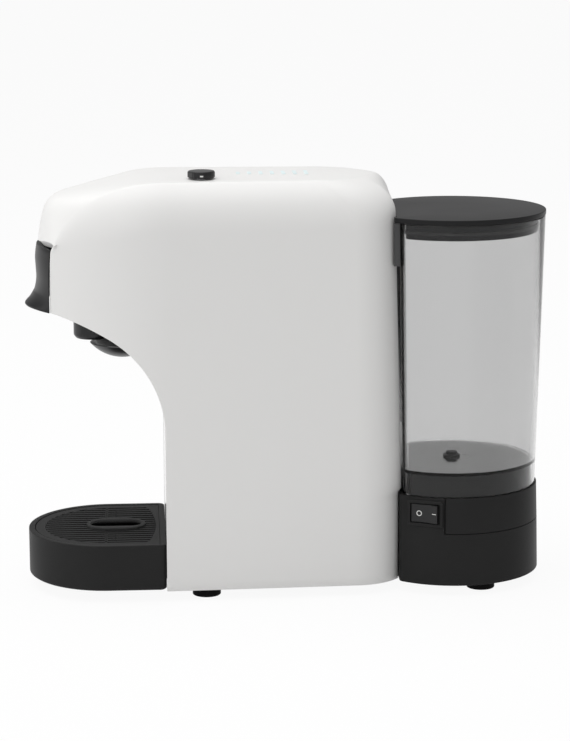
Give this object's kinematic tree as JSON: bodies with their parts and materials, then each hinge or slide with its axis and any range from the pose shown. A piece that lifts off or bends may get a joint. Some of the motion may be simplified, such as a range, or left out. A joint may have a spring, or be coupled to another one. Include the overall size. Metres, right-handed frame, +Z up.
{
  "type": "pod coffee machine",
  "caption": "Slim pod coffee machine: white casing with an arched cup space, sliding capsule drawer, lift-off clear water tank and drip tray with grid.",
  "frame": {"origin": "on the surface it stands on, under the middle of the whole machine", "axes": "front faces -Y, rear towards +Y, right-hand side towards +X, +Z up"},
  "size_m": [0.11, 0.3109, 0.2515],
  "materials": {
    "casing_white": "satin moulded",
    "black_plastic": "gloss moulded",
    "grey_plastic": "moulded",
    "dark_satin_plastic": "satin moulded",
    "foot_rubber": "matt",
    "seal_rubber": "matt",
    "zinc_steel": "zinc plated",
    "clear_plastic": "clear moulded",
    "white_nylon": "moulded",
    "spring_steel": "drawn wire",
    "stainless_steel": "brushed",
    "cast_aluminium": "cast",
    "red_silicone": "matt",
    "light_window": "frosted",
    "circuit_board": "coated",
    "pump_steel": "painted coil housing",
    "silicone_hose": "translucent",
    "white_hose": "smooth"
  },
  "bodies": {
    "body": {"casing_right": "casing_white", "casing_left": "casing_white", "hood": "casing_white", "front_wall": "casing_white", "rear_panel": "dark_satin_plastic", "base_plate": "dark_satin_plastic", "rubber_feet": "foot_rubber", "base_screws": "zinc_steel", "chassis": "grey_plastic", "tank_base": "dark_satin_plastic", "tank_collar": "dark_satin_plastic", "coupling_socket": "grey_plastic", "coupling_seal": "seal_rubber", "coupling_screws": "zinc_steel", "cord_gland": "dark_satin_plastic", "switch_frame": "black_plastic", "drawer_rails": "grey_plastic", "collector": "grey_plastic", "spout": "black_plastic", "drip_dish": "black_plastic", "brew_frame": "zinc_steel", "brew_head": "cast_aluminium", "selector_encoder": "grey_plastic", "light_bars": "light_window", "control_board": "circuit_board", "water_pump": "pump_steel", "pump_mounts": "seal_rubber", "thermoblock": "cast_aluminium", "thermostat": "stainless_steel", "flow_meter": "white_nylon", "main_board": "circuit_board", "inlet_hose": "silicone_hose", "suction_hose": "silicone_hose", "pressure_hose": "silicone_hose", "hot_hose": "white_hose"},
    "tank": {"tank": "clear_plastic", "tank_valve": "dark_satin_plastic", "tank_clip": "dark_satin_plastic"},
    "poppet": {"valve_poppet": "white_nylon", "valve_spring": "spring_steel"},
    "lid": {"tank_lid": "black_plastic", "lid_seal": "seal_rubber"},
    "tray": {"drip_tray": "dark_satin_plastic"},
    "grid": {"drip_grid": "dark_satin_plastic"},
    "drawer": {"drawer_front": "black_plastic", "drawer_carrier": "grey_plastic", "capsule_cup": "stainless_steel"},
    "piston": {"brew_piston": "cast_aluminium", "piston_seal": "red_silicone", "piston_spring": "spring_steel"},
    "selector": {"selector_plunger": "white_nylon"},
    "knob": {"selector_knob": "black_plastic", "selector_shaft": "zinc_steel"},
    "rocker": {"switch_rocker": "black_plastic"}
  },
  "joints": [
    {"name": "capsule_drawer_slide", "type": "slide", "parent": "body", "child": "drawer", "axis": [0, -1, 0], "range_m": [0, 0.05]},
    {"name": "drip_tray_slide", "type": "slide", "parent": "body", "child": "tray", "axis": [0, -1, 0], "range_m": [0, 0.07]},
    {"name": "drip_grid_lift", "type": "slide", "parent": "tray", "child": "grid", "axis": [0, 0, 1], "range_m": [0, 0.03]},
    {"name": "tank_lift", "type": "slide", "parent": "body", "child": "tank", "axis": [0, 0, 1], "range_m": [0, 0.05]},
    {"name": "tank_lid_lift", "type": "slide", "parent": "tank", "child": "lid", "axis": [0, 0, 1], "range_m": [0, 0.04]},
    {"name": "valve_poppet_slide", "type": "slide", "parent": "tank", "child": "poppet", "axis": [0, 0, 1], "range_m": [0, 0.002], "stiffness_N_per_m": 40, "springref_m": -0.004, "deforming": ["valve_spring"]},
    {"name": "brew_piston_slide", "type": "slide", "parent": "body", "child": "piston", "axis": [0, 0, -1], "range_m": [0, 0.002], "stiffness_N_per_m": 400, "springref_m": -0.002, "deforming": ["piston_spring"]},
    {"name": "selector_press", "type": "slide", "parent": "body", "child": "selector", "axis": [0, 0, -1], "range_m": [0, 0.0005], "stiffness_N_per_m": 600, "springref_m": -0.0005},
    {"name": "selector_turn", "type": "hinge", "parent": "selector", "child": "knob", "pos_m": [0.024, -0.05, 0.247], "axis": [0, 0, 1], "range_deg": [-135, 135]},
    {"name": "switch_rock", "type": "hinge", "parent": "body", "child": "rocker", "pos_m": [0.04504, 0.08045, 0.0495], "axis": [0, 0, 1], "range_deg": [0, 10]}
  ]
}
